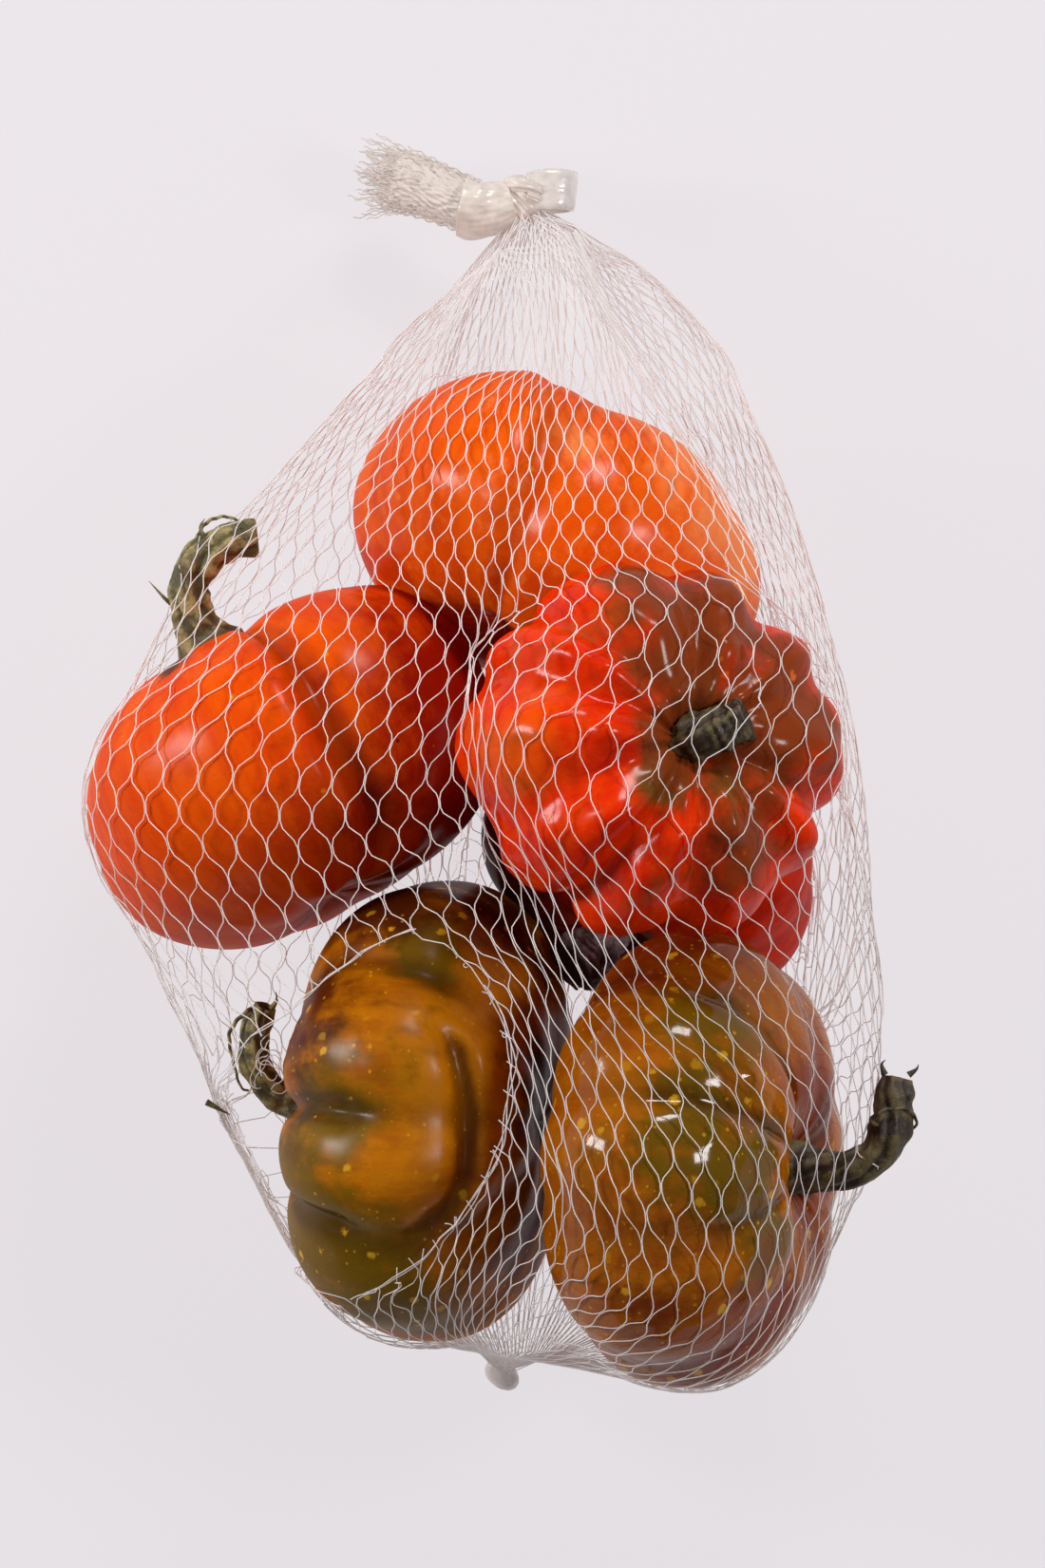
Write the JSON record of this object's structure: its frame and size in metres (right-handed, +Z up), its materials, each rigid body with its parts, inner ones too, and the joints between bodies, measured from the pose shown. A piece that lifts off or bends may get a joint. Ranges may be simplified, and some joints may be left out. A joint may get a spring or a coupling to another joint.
{
  "type": "net of mini pumpkins",
  "caption": "Knotted knitted net bag holding small ribbed pumpkins with dry curled stems, lying flat with its shown side up.",
  "frame": {"origin": "middle of the bag's footprint, on the table", "axes": "+Y towards the knotted end, +X to the bag's right seen from above, +Z up, out of the shown side"},
  "size_m": [0.1766, 0.267, 0.1287],
  "materials": {
    "orange_rind": "waxy orange rind with a soft sheen",
    "red_orange_rind": "waxy orange-red rind, darker on one lobe",
    "red_brown_rind": "glossy deeply ribbed rind, red below and brown round the stem",
    "ochre_rind": "glossy ochre, olive and brown rind with yellow specks",
    "olive_rind": "glossy ochre and olive rind, red-brown below",
    "red_rind": "glossy dark red rind, bright red on one side",
    "stem_green": "dry grey-green ridged stem",
    "stem_dark": "dry dark brown-green ridged stem",
    "stem_grey": "dry grey-brown cut stem",
    "net_yarn": "thin cream-white knitted yarn",
    "knot_yarn": "packed cream-white yarn, slightly translucent",
    "clear_band": "smooth translucent white band",
    "melted_end": "melted grey-white translucent lump"
  },
  "bodies": {
    "root": {"pumpkin_top": "orange_rind", "pumpkin_left": "red_orange_rind", "pumpkin_ribbed": "red_brown_rind", "pumpkin_lower_left": "ochre_rind", "pumpkin_lower_right": "olive_rind", "pumpkin_behind": "red_rind", "stem_left": "stem_green", "stem_ribbed": "stem_dark", "stem_lower_left": "stem_green", "stem_lower_right": "stem_dark", "stem_behind": "stem_grey", "net": "net_yarn", "knot": "knot_yarn", "knot_band": "clear_band", "tail": "net_yarn", "end_seal": "melted_end"}
  },
  "joints": []
}
